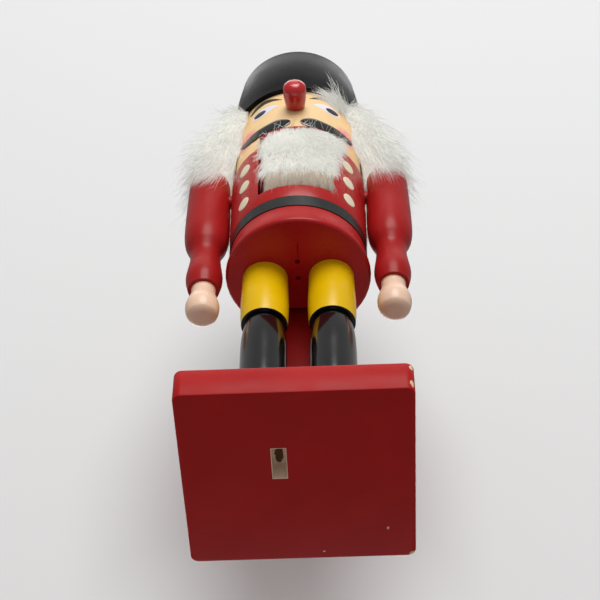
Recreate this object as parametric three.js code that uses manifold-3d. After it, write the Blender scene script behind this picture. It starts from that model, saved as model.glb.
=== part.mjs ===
// A wooden nutcracker soldier: a turned figure on a square base, with a lever that works its lower jaw.
// Millimetres, +Z up. The figure faces -Y, and the origin is the middle of the base's underside.
import * as THREE from "three";
import { mergeVertices } from "three/addons/utils/BufferGeometryUtils.js";
import Module from "manifold-3d";

const wasm = await Module();
wasm.setup();

// Base board
const BASE_SIDE = 83;
const BASE_THICKNESS = 13.2;
const BASE_CORNER_RADIUS = 2.4;
const BASE_EDGE_BEVEL = 0.7;
const MORTISE_WIDTH = 5.2;
const MORTISE_LENGTH = 14.6;
const MORTISE_DEPTH = 7.5;
const MORTISE_X = -6.4;
const MORTISE_Y = -7.8;

// Boots and trouser legs
const LEG_GAP = 7.7;
const BOOT_HEIGHT = 71.4;
const BOOT_SHAFT_RADIUS = 9.1;
const BOOT_ANKLE_RADIUS = 8.1;
const BOOT_ANKLE_HEIGHT = 15;
const BOOT_SOLE_RADIUS = 9.5;
const BOOT_SOLE_THICKNESS = 3;
const BOOT_NECK_INSET = 1.2;
const BOOT_TOP_ROUND = 2;
const BOOT_SHOULDER_HEIGHT = 16;
const TENON_RADIUS = 4;
const TENON_LENGTH = 8;
const TOE_LENGTH = 12;
const TOE_WIDTH = 18.6;
const TOE_HEIGHT = 11;
const TROUSER_RADIUS = 9.2;
const TROUSER_LENGTH = 29.4;
const TROUSER_HEM_ROUND = 0.6;

// Torso and belt
const TORSO_RADIUS = 28.5;
const TORSO_HEIGHT = 60.6;
const TORSO_TOP_ROUND = 1.6;
const SKIRT_FLARE = 1;
const SKIRT_EDGE_ROUND = 1.5;
const WAIST_DRAW = 0.5;
const BELT_HEIGHT = 11.7;
const BELT_WIDTH = 6.4;
const BELT_THICKNESS = 1.5;
const BELT_PROUD = 0.3;
const CENTRE_HOLE_RADIUS = 1.1;
const CENTRE_HOLE_DEPTH = 4;
const PILOT_HOLE_Y = -8.4;

// Jaw slot, lever and hinge pin
const SLOT_WIDTH = 31;
const SLOT_BOTTOM = 25.2;
const CHANNEL_DEPTH = 13.1;
const MOUTH_RISE = 9;
const PIN_DROP = 17.4;
const PIN_RADIUS = 2.2;
const JAW_SWING = 24;
const JAW_DEPTH = 25;
const LEVER_EXIT_RISE = 5.8;
const TAIL_THICKNESS = 10;
const TAIL_TIP_THICKNESS = 7;
const TAIL_DROP = 66;
const LEVER_BEVEL = 0.6;

// Head, nose and hat
const HEAD_HEIGHT = 37.4;
const HEAD_STEP = 1.2;
const HEAD_BARREL = 0.6;
const NOSE_HEIGHT = 24.7;
const NOSE_LENGTH = 12.2;
const NOSE_ROOT_RADIUS = 4.1;
const NOSE_TIP_RADIUS = 5;
const NOSE_TIP_ROUND = 3.6;
const NOSE_PEG_RADIUS = 2.6;
const NOSE_PEG_LENGTH = 7;
const HAT_HEIGHT = 37.5;
const HAT_OVERHANG = 1.6;
const HAT_TAPER = 2.8;
const HAT_RIM_ROUND = 3.6;

// Arms and hands
const ARM_LENGTH = 77.7;
const ARM_TOP_RISE = 11.2;
const SHOULDER_RADIUS = 8.8;
const ELBOW_RADIUS = 9.3;
const ELBOW_HEIGHT = 33.5;
const WRIST_RADIUS = 6.3;
const WRIST_HEIGHT = 21;
const CUFF_RADIUS = 7.5;
const CUFF_HEIGHT = 7;
const CUFF_END_RADIUS = 6.4;
const HAND_LENGTH = 17.6;
const HAND_NECK_RADIUS = 5;
const HAND_NECK_LENGTH = 3.5;
const FIST_RADIUS = 6.8;
const FIST_HEIGHT = 7.4;
const FIST_END_RADIUS = 4.4;
const HAND_TENON_RADIUS = 3;
const HAND_TENON_LENGTH = 7;

// Fur
const BEARD_WIDTH = 36;
const BEARD_HEIGHT = 29;
const BEARD_THICKNESS = 10.5;
const HAIR_THICKNESS = 11;
const HAIR_ROOT_THICKNESS = 2.5;
const FACE_HALF_ANGLE = 60;

// Dowels and the clearances that every fit takes
const DOWEL_RADIUS = 3;
const DOWEL_DEPTH = 8;
const SHOULDER_DOWEL_DROP = 7;
const SHOULDER_DOWEL_WALL = 6;
const NECK_DOWEL_RADIUS = 2.2;
const NECK_DOWEL_SETBACK = 8;
const GLUE_LINE = 0.1;
const FIT = 0.15;
const END_GAP = 0.3;
const ARM_GAP = 0.4;
const FUR_GAP = 0.4;
const LEVER_SIDE_GAP = 0.6;
const LEVER_FLOOR_GAP = 0.8;
const MOUTH_GAP = 1.2;
const TAIL_GAP = 2.4;

// Facets
const LARGE_SIDES = 48;
const LIMB_SIDES = 24;
const DOWEL_SIDES = 12;

// Levels of the stacked pieces, from the floor up
const bootBottom = BASE_THICKNESS + GLUE_LINE;
const trouserBottom = bootBottom + BOOT_HEIGHT + GLUE_LINE;
const torsoBottom = trouserBottom + TROUSER_LENGTH + GLUE_LINE;
const headBottom = torsoBottom + TORSO_HEIGHT + GLUE_LINE;
const hatBottom = headBottom + HEAD_HEIGHT + GLUE_LINE;

// Places that several pieces share
const legX = Math.max(TROUSER_RADIUS, BOOT_SHAFT_RADIUS, BOOT_SOLE_RADIUS, TOE_WIDTH / 2) + LEG_GAP / 2;
const bootNeckRadius = TROUSER_RADIUS - BOOT_NECK_INSET;
const skirtRadius = TORSO_RADIUS + SKIRT_FLARE;
const waistRadius = TORSO_RADIUS - WAIST_DRAW;
const headRadius = TORSO_RADIUS - HEAD_STEP;
const armRadius = Math.max(ELBOW_RADIUS, SHOULDER_RADIUS);
const armX = Math.max(TORSO_RADIUS + armRadius, skirtRadius + CUFF_RADIUS) + ARM_GAP;
const torsoTop = torsoBottom + TORSO_HEIGHT;
const armTop = headBottom + ARM_TOP_RISE;
const armBottom = armTop - ARM_LENGTH;
const shoulderDowelZ = torsoTop - SHOULDER_DOWEL_DROP;
const pinZ = torsoTop - PIN_DROP;
const slotBottomZ = torsoBottom + SLOT_BOTTOM;
const mouthRoofZ = headBottom + MOUTH_RISE;
const noseZ = headBottom + NOSE_HEIGHT;
const channelFront = TORSO_RADIUS - CHANNEL_DEPTH;
const neckDowelX = (SLOT_WIDTH / 2 + headRadius) / 2;
const SIDES = [["left", -1], ["right", 1]];

// A closed geometry as a solid that can be cut and joined.
function solid(geometry) {
  const bare = new THREE.BufferGeometry();
  bare.setAttribute("position", geometry.getAttribute("position"));
  bare.setIndex(geometry.getIndex());
  const merged = mergeVertices(bare);
  return new wasm.Manifold(new wasm.Mesh({
    numProp: 3,
    vertProperties: merged.getAttribute("position").array,
    triVerts: new Uint32Array(merged.getIndex().array),
  }));
}

// A solid as a geometry with flat faces.
function geometryOf(body) {
  const mesh = body.getMesh();
  const geometry = new THREE.BufferGeometry();
  geometry.setAttribute("position", new THREE.BufferAttribute(mesh.vertProperties, 3));
  geometry.setIndex(new THREE.BufferAttribute(mesh.triVerts, 1));
  return geometry;
}

// A piece turned on the lathe about Z: the outline holds radius and height, from the bottom up.
function turned(outline, sides, curveSteps = 5) {
  return new THREE.LatheGeometry(outline.getPoints(curveSteps), sides).rotateX(Math.PI / 2);
}

// A block between two corners.
function block(low, high) {
  const size = high.clone().sub(low);
  const middle = low.clone().add(high).multiplyScalar(0.5);
  return solid(new THREE.BoxGeometry(size.x, size.y, size.z).translate(middle.x, middle.y, middle.z));
}

// A round bar from one point to another, used for dowels, pins and the holes that take them.
function bar(from, to, radius, sides = DOWEL_SIDES) {
  const along = to.clone().sub(from);
  const turn = new THREE.Quaternion().setFromUnitVectors(new THREE.Vector3(0, 1, 0), along.clone().normalize());
  const middle = from.clone().add(to).multiplyScalar(0.5);
  return new THREE.CylinderGeometry(radius, radius, along.length(), sides)
    .applyQuaternion(turn)
    .translate(middle.x, middle.y, middle.z);
}

// The hole for a bar: wider by the fit and longer by the end gap at both ends.
function hole(from, to, radius) {
  const reach = to.clone().sub(from).setLength(END_GAP);
  return solid(bar(from.clone().sub(reach), to.clone().add(reach), radius + FIT));
}

const point = (x, y, z) => new THREE.Vector3(x, y, z);

// Dowels: each entry gives the two ends and the radius, and the same entry cuts its hole in both neighbours.
const dowels = {};
for (const [side, sign] of SIDES) {
  dowels[`${side}_base_dowel`] = {
    from: point(sign * legX, 0, bootBottom - DOWEL_DEPTH),
    to: point(sign * legX, 0, bootBottom + DOWEL_DEPTH),
    radius: DOWEL_RADIUS,
  };
  dowels[`${side}_hip_dowel`] = {
    from: point(sign * legX, 0, torsoBottom - DOWEL_DEPTH),
    to: point(sign * legX, 0, torsoBottom + DOWEL_DEPTH),
    radius: DOWEL_RADIUS,
  };
  dowels[`${side}_neck_dowel`] = {
    from: point(sign * neckDowelX, NECK_DOWEL_SETBACK, headBottom - DOWEL_DEPTH),
    to: point(sign * neckDowelX, NECK_DOWEL_SETBACK, headBottom + DOWEL_DEPTH),
    radius: NECK_DOWEL_RADIUS,
  };
  dowels[`${side}_shoulder_dowel`] = {
    from: point(sign * (SLOT_WIDTH / 2 + SHOULDER_DOWEL_WALL), 0, shoulderDowelZ),
    to: point(sign * armX, 0, shoulderDowelZ),
    radius: DOWEL_RADIUS,
  };
}
dowels.hat_dowel = {
  from: point(0, 0, hatBottom - DOWEL_DEPTH),
  to: point(0, 0, hatBottom + DOWEL_DEPTH),
  radius: DOWEL_RADIUS,
};
const dowelHole = (name) => hole(dowels[name].from, dowels[name].to, dowels[name].radius);

// Base: a square board with eased edges, and an oblong hole let into its underside.
function makeBase() {
  const half = BASE_SIDE / 2 - BASE_EDGE_BEVEL;
  const corner = half - BASE_CORNER_RADIUS;
  const outline = new THREE.Shape();
  [0, 1, 2, 3].forEach((quarter) => {
    const start = quarter * Math.PI / 2;
    const x = corner * (quarter === 0 || quarter === 3 ? 1 : -1);
    const y = corner * (quarter < 2 ? 1 : -1);
    outline.absarc(x, y, BASE_CORNER_RADIUS, start, start + Math.PI / 2);
  });
  const board = new THREE.ExtrudeGeometry(outline, {
    depth: BASE_THICKNESS - 2 * BASE_EDGE_BEVEL,
    bevelThickness: BASE_EDGE_BEVEL,
    bevelSize: BASE_EDGE_BEVEL,
    bevelSegments: 2,
    curveSegments: 4,
  }).translate(0, 0, BASE_EDGE_BEVEL);
  const mortise = block(
    point(MORTISE_X - MORTISE_WIDTH / 2, MORTISE_Y - MORTISE_LENGTH / 2, -1),
    point(MORTISE_X + MORTISE_WIDTH / 2, MORTISE_Y + MORTISE_LENGTH / 2, MORTISE_DEPTH),
  );
  return solid(board)
    .subtract(mortise)
    .subtract(dowelHole("left_base_dowel"))
    .subtract(dowelHole("right_base_dowel"));
}

// Boot: sole, ankle, shaft and rounded shoulder below the neck, with a tenon that enters the trouser leg.
function bootOutline(grow) {
  const shoulder = BOOT_HEIGHT - BOOT_SHOULDER_HEIGHT;
  const neck = bootNeckRadius + grow;
  const shaft = BOOT_SHAFT_RADIUS + grow;
  const outline = new THREE.Path();
  outline.moveTo(0, 0);
  outline.lineTo(BOOT_SOLE_RADIUS + grow, 0);
  outline.lineTo(BOOT_SOLE_RADIUS + grow, BOOT_SOLE_THICKNESS);
  outline.splineThru([
    new THREE.Vector2(BOOT_ANKLE_RADIUS + grow, BOOT_ANKLE_HEIGHT),
    new THREE.Vector2(shaft, (BOOT_ANKLE_HEIGHT + shoulder) / 2),
    new THREE.Vector2(shaft, shoulder),
  ]);
  outline.quadraticCurveTo(shaft, BOOT_HEIGHT - BOOT_SHOULDER_HEIGHT / 2, neck, BOOT_HEIGHT - BOOT_TOP_ROUND);
  outline.absarc(neck - BOOT_TOP_ROUND, BOOT_HEIGHT - BOOT_TOP_ROUND, BOOT_TOP_ROUND, 0, Math.PI / 2);
  outline.lineTo(TENON_RADIUS, BOOT_HEIGHT);
  outline.lineTo(TENON_RADIUS, BOOT_HEIGHT + TENON_LENGTH);
  outline.lineTo(0, BOOT_HEIGHT + TENON_LENGTH);
  return outline;
}

function makeBoot(side, sign) {
  const boot = turned(bootOutline(0), LIMB_SIDES, 2).translate(sign * legX, 0, bootBottom);
  return solid(boot).subtract(dowelHole(`${side}_base_dowel`));
}

// Toe cap: a rounded block that stands on the base against the front of the boot.
function makeToe(side, sign) {
  const reach = BOOT_SOLE_RADIUS + TOE_LENGTH;
  const dome = new THREE.SphereGeometry(1, 24, 12)
    .rotateX(Math.PI / 2)
    .scale(TOE_WIDTH / 2, reach, TOE_HEIGHT)
    .translate(sign * legX, 0, bootBottom);
  const front = block(
    point(sign * legX - TOE_WIDTH, -2 * reach, bootBottom),
    point(sign * legX + TOE_WIDTH, 0, bootBottom + 2 * TOE_HEIGHT),
  );
  const boot = turned(bootOutline(END_GAP), LIMB_SIDES, 2).translate(sign * legX, 0, bootBottom);
  const below = boot.clone().translate(0, 0, -BOOT_SOLE_THICKNESS / 2);
  return solid(dome).intersect(front).subtract(solid(boot)).subtract(solid(below));
}

// Trouser leg: a plain turned cylinder with a rounded hem.
function makeTrouserLeg(side, sign) {
  const outline = new THREE.Path();
  outline.moveTo(0, 0);
  outline.lineTo(TROUSER_RADIUS - TROUSER_HEM_ROUND, 0);
  outline.absarc(TROUSER_RADIUS - TROUSER_HEM_ROUND, TROUSER_HEM_ROUND, TROUSER_HEM_ROUND, -Math.PI / 2, 0);
  outline.lineTo(TROUSER_RADIUS, TROUSER_LENGTH);
  outline.lineTo(0, TROUSER_LENGTH);
  const leg = turned(outline, LIMB_SIDES, 2).translate(sign * legX, 0, trouserBottom);
  const tenonSocket = hole(
    point(sign * legX, 0, trouserBottom - GLUE_LINE),
    point(sign * legX, 0, trouserBottom - GLUE_LINE + TENON_LENGTH),
    TENON_RADIUS,
  );
  return solid(leg).subtract(tenonSocket).subtract(dowelHole(`${side}_hip_dowel`));
}

// The channel down the torso's back that the lever's tail hangs in, from the jaw slot to the skirt's edge.
const backChannel = () => block(
  point(-SLOT_WIDTH / 2, channelFront, torsoBottom - TAIL_GAP),
  point(SLOT_WIDTH / 2, 2 * skirtRadius, torsoTop + TORSO_HEIGHT),
);

// Torso: flared skirt, belt groove and chest, with the jaw slot sawn down through it from front to back.
const beltSeatRadius = waistRadius + BELT_PROUD - BELT_THICKNESS - END_GAP;

function makeTorso() {
  const grooveLow = BELT_HEIGHT - END_GAP;
  const grooveHigh = BELT_HEIGHT + BELT_WIDTH + END_GAP;
  const outline = new THREE.Path();
  outline.moveTo(0, 0);
  outline.lineTo(skirtRadius - SKIRT_EDGE_ROUND, 0);
  outline.absarc(skirtRadius - SKIRT_EDGE_ROUND, SKIRT_EDGE_ROUND, SKIRT_EDGE_ROUND, -Math.PI / 2, 0);
  outline.quadraticCurveTo(waistRadius, grooveLow / 2, waistRadius, grooveLow);
  outline.lineTo(beltSeatRadius, grooveLow);
  outline.lineTo(beltSeatRadius, grooveHigh);
  outline.lineTo(waistRadius, grooveHigh);
  outline.quadraticCurveTo(TORSO_RADIUS, grooveHigh, TORSO_RADIUS, grooveHigh + BELT_WIDTH);
  outline.lineTo(TORSO_RADIUS, TORSO_HEIGHT - TORSO_TOP_ROUND);
  outline.absarc(TORSO_RADIUS - TORSO_TOP_ROUND, TORSO_HEIGHT - TORSO_TOP_ROUND, TORSO_TOP_ROUND, 0, Math.PI / 2);
  outline.lineTo(0, TORSO_HEIGHT);
  const slot = block(
    point(-SLOT_WIDTH / 2, -2 * skirtRadius, slotBottomZ),
    point(SLOT_WIDTH / 2, 2 * skirtRadius, torsoTop + TORSO_HEIGHT),
  );
  let torso = solid(turned(outline, LARGE_SIDES, 2).translate(0, 0, torsoBottom))
    .subtract(slot)
    .subtract(backChannel())
    .subtract(pinHole());
  for (const [side] of SIDES) {
    torso = torso
      .subtract(dowelHole(`${side}_hip_dowel`))
      .subtract(dowelHole(`${side}_neck_dowel`))
      .subtract(dowelHole(`${side}_shoulder_dowel`));
  }
  for (const y of [0, PILOT_HOLE_Y]) {
    const drilled = bar(
      point(0, y, torsoBottom - CENTRE_HOLE_DEPTH),
      point(0, y, torsoBottom + CENTRE_HOLE_DEPTH),
      CENTRE_HOLE_RADIUS,
    );
    torso = torso.subtract(solid(drilled));
  }
  return torso;
}

// Belt: a flat band let into the groove, whose ends stop at the back channel.
function makeBelt() {
  const inner = beltSeatRadius + END_GAP;
  const outline = new THREE.Path();
  outline.moveTo(inner, 0);
  outline.lineTo(inner + BELT_THICKNESS, 0);
  outline.lineTo(inner + BELT_THICKNESS, BELT_WIDTH);
  outline.lineTo(inner, BELT_WIDTH);
  outline.lineTo(inner, 0);
  return solid(turned(outline, LARGE_SIDES).translate(0, 0, torsoBottom + BELT_HEIGHT)).subtract(backChannel());
}

// Hinge pin: a wooden dowel right across the torso, which the lever turns on.
const pinEnd = TORSO_RADIUS + ARM_GAP / 3;
const makePin = () => solid(bar(point(-pinEnd, 0, pinZ), point(pinEnd, 0, pinZ), PIN_RADIUS, LIMB_SIDES));
const pinHole = () => solid(bar(
  point(-2 * pinEnd, 0, pinZ),
  point(2 * pinEnd, 0, pinZ),
  PIN_RADIUS + FIT,
  LIMB_SIDES,
));

// Jaw lever: one board sawn to an outline seen from the side, whose front is the lower jaw and whose tail is the handle.
// Its underside is cut away in front, so that the jaw clears the slot's floor when it has swung right down.
function makeLever() {
  const swing = THREE.MathUtils.degToRad(JAW_SWING);
  const floor = slotBottomZ + LEVER_FLOOR_GAP;
  const front = -TORSO_RADIUS;
  const jawTop = mouthRoofZ - MOUTH_GAP;
  const tailInner = channelFront + TAIL_GAP;
  const tailOuter = tailInner + TAIL_THICKNESS;
  const tipInner = tailOuter - TAIL_TIP_THICKNESS;
  const tailEnd = torsoBottom - TAIL_DROP;
  const exitTop = pinZ + LEVER_EXIT_RISE;
  const cutStart = (floor - pinZ) * (1 - Math.cos(swing)) / Math.sin(swing);
  const cutEnd = pinZ + (floor - pinZ - front * Math.sin(swing)) / Math.cos(swing);
  const tipRound = TAIL_TIP_THICKNESS / 2;

  const outline = new THREE.Shape();
  outline.moveTo(front, cutEnd);
  outline.lineTo(cutStart, floor);
  outline.lineTo(tailInner, floor);
  outline.lineTo(tipInner, tailEnd + tipRound);
  outline.absarc(tipInner + tipRound, tailEnd + tipRound, tipRound, Math.PI, 2 * Math.PI);
  outline.lineTo(tailOuter, exitTop - TAIL_THICKNESS);
  outline.quadraticCurveTo(tailOuter, exitTop, tailOuter - TAIL_THICKNESS, exitTop);
  outline.quadraticCurveTo(front + JAW_DEPTH + TAIL_THICKNESS, exitTop, front + JAW_DEPTH, jawTop);
  outline.lineTo(front, jawTop);
  outline.lineTo(front, cutEnd);

  const width = SLOT_WIDTH - 2 * LEVER_SIDE_GAP;
  const board = new THREE.ExtrudeGeometry(outline, {
    depth: width - 2 * LEVER_BEVEL,
    bevelThickness: LEVER_BEVEL,
    bevelSize: LEVER_BEVEL,
    bevelOffset: -LEVER_BEVEL,
    bevelSegments: 1,
    curveSegments: 6,
  });
  board.translate(0, 0, LEVER_BEVEL - width / 2);
  board.applyMatrix4(new THREE.Matrix4().makeBasis(point(0, 1, 0), point(0, 0, 1), point(1, 0, 0)));

  // The jaw's front is turned round with the chest.
  const chest = bar(point(0, 0, torsoBottom), point(0, 0, hatBottom), TORSO_RADIUS - END_GAP, LARGE_SIDES);
  const ahead = block(point(-SLOT_WIDTH, 2 * front, torsoBottom), point(SLOT_WIDTH, front / 2, hatBottom));
  return solid(board).subtract(ahead.subtract(solid(chest))).subtract(pinHole());
}

// Head: a slightly barrel-shaped block, with the mouth sawn into its underside as wide as the jaw slot.
function makeHead() {
  const narrow = headRadius - HEAD_BARREL;
  const outline = new THREE.Path();
  outline.moveTo(0, 0);
  outline.lineTo(narrow, 0);
  outline.quadraticCurveTo(headRadius + HEAD_BARREL, HEAD_HEIGHT / 2, narrow, HEAD_HEIGHT);
  outline.lineTo(0, HEAD_HEIGHT);
  const mouth = block(
    point(-SLOT_WIDTH / 2, -2 * headRadius, headBottom - MOUTH_RISE),
    point(SLOT_WIDTH / 2, 2 * headRadius, mouthRoofZ),
  );
  const nosePegHole = hole(
    point(0, -2 * headRadius, noseZ),
    point(0, NOSE_PEG_LENGTH - headRadius, noseZ),
    NOSE_PEG_RADIUS,
  );
  return solid(turned(outline, LARGE_SIDES, 4).translate(0, 0, headBottom))
    .subtract(mouth)
    .subtract(nosePegHole)
    .subtract(dowelHole("left_neck_dowel"))
    .subtract(dowelHole("right_neck_dowel"))
    .subtract(dowelHole("hat_dowel"));
}

// Nose: a turned knob, thicker towards its rounded tip, on a peg that is glued into the face.
function makeNose() {
  const tipStart = NOSE_LENGTH - NOSE_TIP_ROUND;
  const outline = new THREE.Path();
  outline.moveTo(0, -NOSE_PEG_LENGTH);
  outline.lineTo(NOSE_PEG_RADIUS, -NOSE_PEG_LENGTH);
  outline.lineTo(NOSE_PEG_RADIUS, 0);
  outline.lineTo(NOSE_ROOT_RADIUS, 0);
  outline.quadraticCurveTo(NOSE_TIP_RADIUS, tipStart / 2, NOSE_TIP_RADIUS, tipStart);
  outline.absellipse(0, tipStart, NOSE_TIP_RADIUS, NOSE_TIP_ROUND, 0, Math.PI / 2);
  const nose = turned(outline, LIMB_SIDES, 3)
    .rotateX(Math.PI / 2)
    .translate(0, -headRadius - END_GAP, noseZ);
  return solid(nose);
}

// Hat: a tall tapered cap with a rounded crown, a little wider than the head where it sits on it.
function makeHat() {
  const wide = headRadius + HAT_OVERHANG;
  const top = wide - HAT_TAPER;
  const outline = new THREE.Path();
  outline.moveTo(0, 0);
  outline.lineTo(wide, 0);
  outline.quadraticCurveTo(wide, HAT_HEIGHT / 2, top, HAT_HEIGHT - HAT_RIM_ROUND);
  outline.absarc(top - HAT_RIM_ROUND, HAT_HEIGHT - HAT_RIM_ROUND, HAT_RIM_ROUND, 0, Math.PI / 2);
  outline.lineTo(0, HAT_HEIGHT);
  return solid(turned(outline, LARGE_SIDES, 3).translate(0, 0, hatBottom)).subtract(dowelHole("hat_dowel"));
}

// Arm: a turned sleeve, widest at the elbow, drawn in at the wrist and flared again at the cuff.
function makeArm(side, sign) {
  const outline = new THREE.Path();
  outline.moveTo(0, 0);
  outline.lineTo(CUFF_END_RADIUS, 0);
  outline.splineThru([
    new THREE.Vector2(CUFF_RADIUS, CUFF_HEIGHT),
    new THREE.Vector2(WRIST_RADIUS, WRIST_HEIGHT),
    new THREE.Vector2(ELBOW_RADIUS, ELBOW_HEIGHT),
    new THREE.Vector2(SHOULDER_RADIUS, ARM_LENGTH - SHOULDER_RADIUS),
  ]);
  outline.absarc(0, ARM_LENGTH - SHOULDER_RADIUS, SHOULDER_RADIUS, 0, Math.PI / 2);
  const arm = turned(outline, LIMB_SIDES, 3).translate(sign * armX, 0, armBottom);
  const tenonSocket = hole(
    point(sign * armX, 0, armBottom - GLUE_LINE),
    point(sign * armX, 0, armBottom - GLUE_LINE + HAND_TENON_LENGTH),
    HAND_TENON_RADIUS,
  );
  return solid(arm).subtract(tenonSocket).subtract(dowelHole(`${side}_shoulder_dowel`));
}

// Hand: a turned bead with a short neck and a flat end, on a tenon that enters the cuff.
function makeHand(sign) {
  const neck = HAND_LENGTH - HAND_NECK_LENGTH;
  const outline = new THREE.Path();
  outline.moveTo(0, 0);
  outline.lineTo(FIST_END_RADIUS, 0);
  outline.splineThru([
    new THREE.Vector2((FIST_END_RADIUS + 3 * FIST_RADIUS) / 4, FIST_HEIGHT / 3),
    new THREE.Vector2(FIST_RADIUS, FIST_HEIGHT),
    new THREE.Vector2(HAND_NECK_RADIUS, neck),
    new THREE.Vector2(HAND_NECK_RADIUS, HAND_LENGTH),
  ]);
  outline.lineTo(HAND_TENON_RADIUS, HAND_LENGTH);
  outline.lineTo(HAND_TENON_RADIUS, HAND_LENGTH + HAND_TENON_LENGTH);
  outline.lineTo(0, HAND_LENGTH + HAND_TENON_LENGTH);
  return solid(turned(outline, LIMB_SIDES, 2).translate(sign * armX, 0, armBottom - GLUE_LINE - HAND_LENGTH));
}

// Beard: a domed pad of fur with a flat back, glued to the front of the jaw.
function makeBeard() {
  const back = -TORSO_RADIUS;
  const middle = mouthRoofZ - MOUTH_GAP - BEARD_HEIGHT / 2;
  const dome = new THREE.SphereGeometry(1, 24, 16)
    .rotateX(Math.PI / 2)
    .scale(BEARD_WIDTH / 2, BEARD_THICKNESS, BEARD_HEIGHT / 2)
    .translate(0, back, middle);
  const ahead = block(
    point(-BEARD_WIDTH, 2 * back, middle - BEARD_HEIGHT),
    point(BEARD_WIDTH, back, middle + BEARD_HEIGHT),
  );
  return solid(dome).intersect(ahead);
}

// Hair: a bell of fur round the sides and back of the head, from under the hat down to the shoulders.
function makeHair() {
  const inner = headRadius + FUR_GAP;
  const low = armTop + FUR_GAP;
  const high = hatBottom - FUR_GAP;
  const outline = new THREE.Path();
  outline.moveTo(inner, low);
  outline.lineTo(inner + HAIR_THICKNESS * 0.8, low);
  outline.quadraticCurveTo(inner + HAIR_THICKNESS * 1.2, low, inner + HAIR_THICKNESS, (2 * low + high) / 3);
  outline.quadraticCurveTo(inner + HAIR_THICKNESS * 0.8, high, inner + HAIR_ROOT_THICKNESS, high);
  outline.lineTo(inner, high);
  outline.lineTo(inner, low);
  const reach = 3 * (inner + HAIR_THICKNESS);
  const half = THREE.MathUtils.degToRad(FACE_HALF_ANGLE);
  const wedge = new THREE.Shape();
  wedge.moveTo(0, 0);
  wedge.lineTo(-reach * Math.sin(half), -reach * Math.cos(half));
  wedge.lineTo(reach * Math.sin(half), -reach * Math.cos(half));
  const face = new THREE.ExtrudeGeometry(wedge, { depth: 2 * (high - low), bevelEnabled: false });
  face.translate(0, 0, low - (high - low) / 2);
  return solid(turned(outline, LARGE_SIDES, 4)).subtract(solid(face));
}

// Finishes, as painted
const red = () => new THREE.MeshStandardMaterial({ color: 0xa3201f, roughness: 0.35, metalness: 0 });
const black = () => new THREE.MeshStandardMaterial({ color: 0x16161a, roughness: 0.25, metalness: 0 });
const yellow = () => new THREE.MeshStandardMaterial({ color: 0xe6b80c, roughness: 0.3, metalness: 0 });
const skin = () => new THREE.MeshStandardMaterial({ color: 0xf0cf9f, roughness: 0.4, metalness: 0 });
const fur = () => new THREE.MeshStandardMaterial({ color: 0xeeeae2, roughness: 0.95, metalness: 0 });
const bareWood = () => new THREE.MeshStandardMaterial({ color: 0xcaa77a, roughness: 0.8, metalness: 0 });

const nutcracker = new THREE.Group();

function add(name, body, material) {
  const mesh = new THREE.Mesh(geometryOf(body), material);
  mesh.name = name;
  nutcracker.add(mesh);
}

add("base", makeBase(), red());
add("torso", makeTorso(), red());
add("belt", makeBelt(), black());
add("head", makeHead(), skin());
add("nose", makeNose(), red());
add("hat", makeHat(), black());
add("jaw_lever", makeLever(), red());
add("hinge_pin", makePin(), bareWood());
add("beard", makeBeard(), fur());
add("hair", makeHair(), fur());
for (const [side, sign] of SIDES) {
  add(`${side}_boot`, makeBoot(side, sign), black());
  add(`${side}_boot_toe`, makeToe(side, sign), black());
  add(`${side}_trouser_leg`, makeTrouserLeg(side, sign), yellow());
  add(`${side}_arm`, makeArm(side, sign), red());
  add(`${side}_hand`, makeHand(sign), skin());
}
for (const [name, { from, to, radius }] of Object.entries(dowels)) {
  add(name, solid(bar(from, to, radius)), bareWood());
}

export default nutcracker;
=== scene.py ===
"""Looks of a wooden nutcracker soldier: paint, face, buttons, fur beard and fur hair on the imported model.
Everything is in metres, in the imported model's frame: +Z up, the figure faces -Y."""

import math

import bpy
import numpy as np
from mathutils import Matrix, Vector
from mathutils.bvhtree import BVHTree
from mathutils.kdtree import KDTree


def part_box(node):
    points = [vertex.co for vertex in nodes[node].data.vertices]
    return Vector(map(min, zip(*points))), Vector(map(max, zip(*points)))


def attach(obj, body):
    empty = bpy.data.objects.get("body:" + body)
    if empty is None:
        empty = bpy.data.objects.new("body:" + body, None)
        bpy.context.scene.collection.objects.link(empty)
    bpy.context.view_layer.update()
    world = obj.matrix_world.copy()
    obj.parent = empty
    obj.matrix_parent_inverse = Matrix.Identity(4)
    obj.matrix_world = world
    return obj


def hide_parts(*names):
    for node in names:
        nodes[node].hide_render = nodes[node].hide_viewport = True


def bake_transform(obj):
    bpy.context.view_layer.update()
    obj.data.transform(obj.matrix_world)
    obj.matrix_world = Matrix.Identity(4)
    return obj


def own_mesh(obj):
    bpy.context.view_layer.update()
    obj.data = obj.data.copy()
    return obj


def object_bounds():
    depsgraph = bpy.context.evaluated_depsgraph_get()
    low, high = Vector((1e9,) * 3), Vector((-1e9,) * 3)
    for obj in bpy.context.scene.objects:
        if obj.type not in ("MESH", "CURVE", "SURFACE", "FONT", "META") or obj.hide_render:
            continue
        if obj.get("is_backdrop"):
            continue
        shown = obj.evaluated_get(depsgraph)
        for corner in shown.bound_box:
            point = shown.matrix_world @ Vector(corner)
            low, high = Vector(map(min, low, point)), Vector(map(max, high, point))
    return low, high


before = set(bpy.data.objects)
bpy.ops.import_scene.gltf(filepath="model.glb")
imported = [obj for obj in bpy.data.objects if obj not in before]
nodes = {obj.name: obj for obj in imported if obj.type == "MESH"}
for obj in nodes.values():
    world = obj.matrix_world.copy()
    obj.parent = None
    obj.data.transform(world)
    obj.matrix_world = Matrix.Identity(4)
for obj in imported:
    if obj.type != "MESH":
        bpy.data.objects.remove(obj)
cad_low, cad_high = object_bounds()
scene = bpy.context.scene
scene.view_settings.view_transform = "Standard"
chance = np.random.default_rng(11)

MM = 0.001
SIDES = (("left", -1), ("right", 1))

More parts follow.
